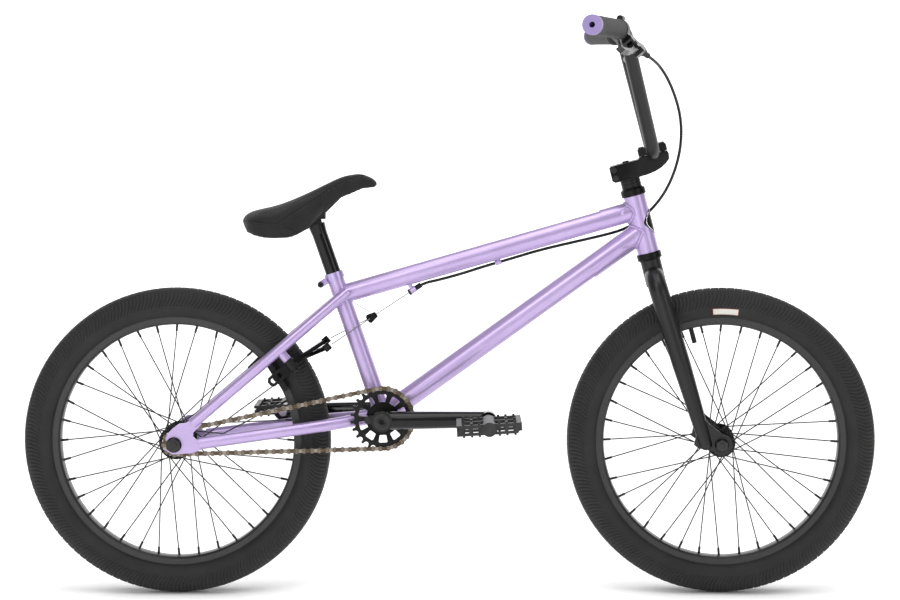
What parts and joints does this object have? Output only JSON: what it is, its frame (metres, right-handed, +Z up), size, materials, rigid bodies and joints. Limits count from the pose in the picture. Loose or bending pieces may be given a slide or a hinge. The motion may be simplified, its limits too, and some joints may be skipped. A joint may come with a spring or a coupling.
{
  "type": "bmx bicycle",
  "caption": "Freestyle BMX bicycle with a diamond frame, high-rise bars, chain drive, rear U-brake worked by a hand lever, pivotal saddle and platform pedals.",
  "frame": {"origin": "on the ground, midway between the wheel axles and in the frame's middle plane", "axes": "+X forward, +Z up, -Y to the rider's right, which is the chain side"},
  "size_m": [1.4255, 0.7498, 0.9623],
  "materials": {
    "frame_paint": "light lavender metallic paint, satin gloss",
    "black_paint": "matte black powder coat",
    "gloss_black": "gloss black enamel",
    "black_alloy": "matte black anodised",
    "lavender_alloy": "lavender anodised",
    "bare_steel": "zinc-plated, satin",
    "black_steel": "black oxide, satin",
    "chain_brown": "oiled brown steel",
    "tyre_black": "moulded black rubber",
    "tube_rubber": "butyl rubber",
    "grip_rubber": "dark grey moulded rubber",
    "plug_plastic": "lavender moulded nylon",
    "black_plastic": "black moulded nylon",
    "housing_plastic": "black extruded jacket",
    "seat_cover": "black woven cover over foam",
    "reflector_amber": "clear amber prism lens",
    "lever_alloy": "black anodised with bright edges"
  },
  "bodies": {
    "frame": {"head_tube": "frame_paint", "top_tube": "frame_paint", "down_tube": "frame_paint", "seat_tube": "frame_paint", "bottom_bracket_shell": "frame_paint", "chainstays": "frame_paint", "seatstays": "frame_paint", "rear_dropouts": "frame_paint", "frame_braze_ons": "frame_paint", "head_badge": "lavender_alloy", "headset_cups": "black_alloy", "headset_bearings": "bare_steel", "seat_clamp": "lavender_alloy", "frame_bolts": "black_steel", "bottom_bracket_bearings": "bare_steel", "rear_axle": "black_steel", "chain_outer_links": "chain_brown", "chain_inner_links": "chain_brown", "brake_housing": "housing_plastic", "cable_adjuster": "black_alloy", "brake_wires": "bare_steel"},
    "fork": {"fork_steerer": "black_paint", "fork_legs": "black_paint", "headset_spacers": "black_alloy", "stem_body": "black_alloy", "stem_cap": "black_alloy", "stem_bolts": "black_steel", "handlebar": "black_paint", "grips": "grip_rubber", "bar_end_plugs": "plug_plastic", "brake_lever_bracket": "lever_alloy", "front_axle": "black_steel"},
    "front_wheel": {"front_tyre": "tyre_black", "front_inner_tube": "tube_rubber", "front_rim": "black_alloy", "front_spokes": "black_steel", "front_hub": "black_alloy"},
    "rear_wheel": {"rear_tyre": "tyre_black", "rear_inner_tube": "tube_rubber", "rear_rim": "black_alloy", "rear_spokes": "black_steel", "rear_hub": "black_alloy"},
    "driver": {"driver_cog": "bare_steel"},
    "crank": {"sprocket": "black_alloy", "crank_arms": "gloss_black", "crank_spindle": "bare_steel", "crank_bolts": "black_steel", "pedal_spindles": "bare_steel"},
    "pedal_right": {"pedal_body_right": "black_plastic", "pedal_reflectors_right": "reflector_amber"},
    "pedal_left": {"pedal_body_left": "black_plastic", "pedal_reflectors_left": "reflector_amber"},
    "brake_lever": {"brake_lever_blade": "lever_alloy"},
    "brake_arm_right": {"brake_arm_right": "black_alloy"},
    "brake_arm_left": {"brake_arm_left": "black_alloy"},
    "cable_yoke": {"cable_yoke": "black_alloy"},
    "seat_post": {"seat_post": "gloss_black"},
    "seat": {"seat_padding": "seat_cover", "seat_base": "black_plastic", "seat_bolt": "black_steel"}
  },
  "joints": [
    {"name": "steering", "type": "hinge", "parent": "frame", "child": "fork", "pos_m": [0.33322, 0, 0.57334], "axis": [-0.2504, 0, 0.9681], "range_deg": [-76.5, 83.5], "deforming": ["brake_housing"]},
    {"name": "front_wheel_spin", "type": "hinge", "parent": "fork", "child": "front_wheel", "pos_m": [0.45543, -0.0024, 0.25748], "axis": [0.0591, 0.9981, 0.0153], "continuous": true},
    {"name": "rear_wheel_spin", "type": "hinge", "parent": "frame", "child": "rear_wheel", "pos_m": [-0.4555, 0, 0.2575], "axis": [0, 1, 0], "continuous": true},
    {"name": "crank_spin", "type": "hinge", "parent": "frame", "child": "crank", "pos_m": [-0.1103, 0, 0.29927], "axis": [0, 1, 0], "continuous": true, "deforming": ["chain_outer_links", "chain_inner_links"]},
    {"name": "driver_spin", "type": "hinge", "parent": "frame", "child": "driver", "pos_m": [-0.4555, 0, 0.2575], "axis": [0, 1, 0], "continuous": true},
    {"name": "pedal_right_spin", "type": "hinge", "parent": "crank", "child": "pedal_right", "pos_m": [0.06466, -0.165, 0.30294], "axis": [0, 1, 0], "continuous": true},
    {"name": "pedal_left_spin", "type": "hinge", "parent": "crank", "child": "pedal_left", "pos_m": [-0.28526, 0.165, 0.29561], "axis": [0, 1, 0], "continuous": true},
    {"name": "lever_pull", "type": "hinge", "parent": "fork", "child": "brake_lever", "pos_m": [0.28643, -0.22866, 0.90901], "axis": [-0.7371, 0.254, -0.6263], "range_deg": [0, 13], "stiffness_Nm_per_rad": 0.6, "springref_deg": -5.73, "deforming": ["brake_wires"]},
    {"name": "brake_arm_right_turn", "type": "hinge", "parent": "frame", "child": "brake_arm_right", "pos_m": [-0.26282, -0.0435, 0.3905], "axis": [0.6462, 0, -0.7632], "range_deg": [0, 3]},
    {"name": "brake_arm_left_turn", "type": "hinge", "parent": "frame", "child": "brake_arm_left", "pos_m": [-0.26282, 0.0435, 0.3905], "axis": [-0.6462, 0, 0.7632], "range_deg": [0, 3]},
    {"name": "yoke_pull", "type": "slide", "parent": "frame", "child": "cable_yoke", "axis": [0.8348, 0, 0.5505], "range_m": [0, 0.0045]},
    {"name": "seat_height", "type": "slide", "parent": "frame", "child": "seat_post", "axis": [-0.3272, 0, 0.9449], "range_m": [-0.065, 0.04]},
    {"name": "seat_tilt", "type": "hinge", "parent": "seat_post", "child": "seat", "pos_m": [-0.22309, 0, 0.625], "axis": [0, 1, 0], "range_deg": [-12, 12]}
  ],
  "couplings": [
    {"joint": "driver_spin", "follows": "crank_spin", "ratio": 2.7778},
    {"joint": "brake_arm_right_turn", "follows": "lever_pull", "ratio": 0.23077},
    {"joint": "brake_arm_left_turn", "follows": "lever_pull", "ratio": 0.23077},
    {"joint": "yoke_pull", "follows": "lever_pull", "m_per_rad": 0.019813}
  ]
}
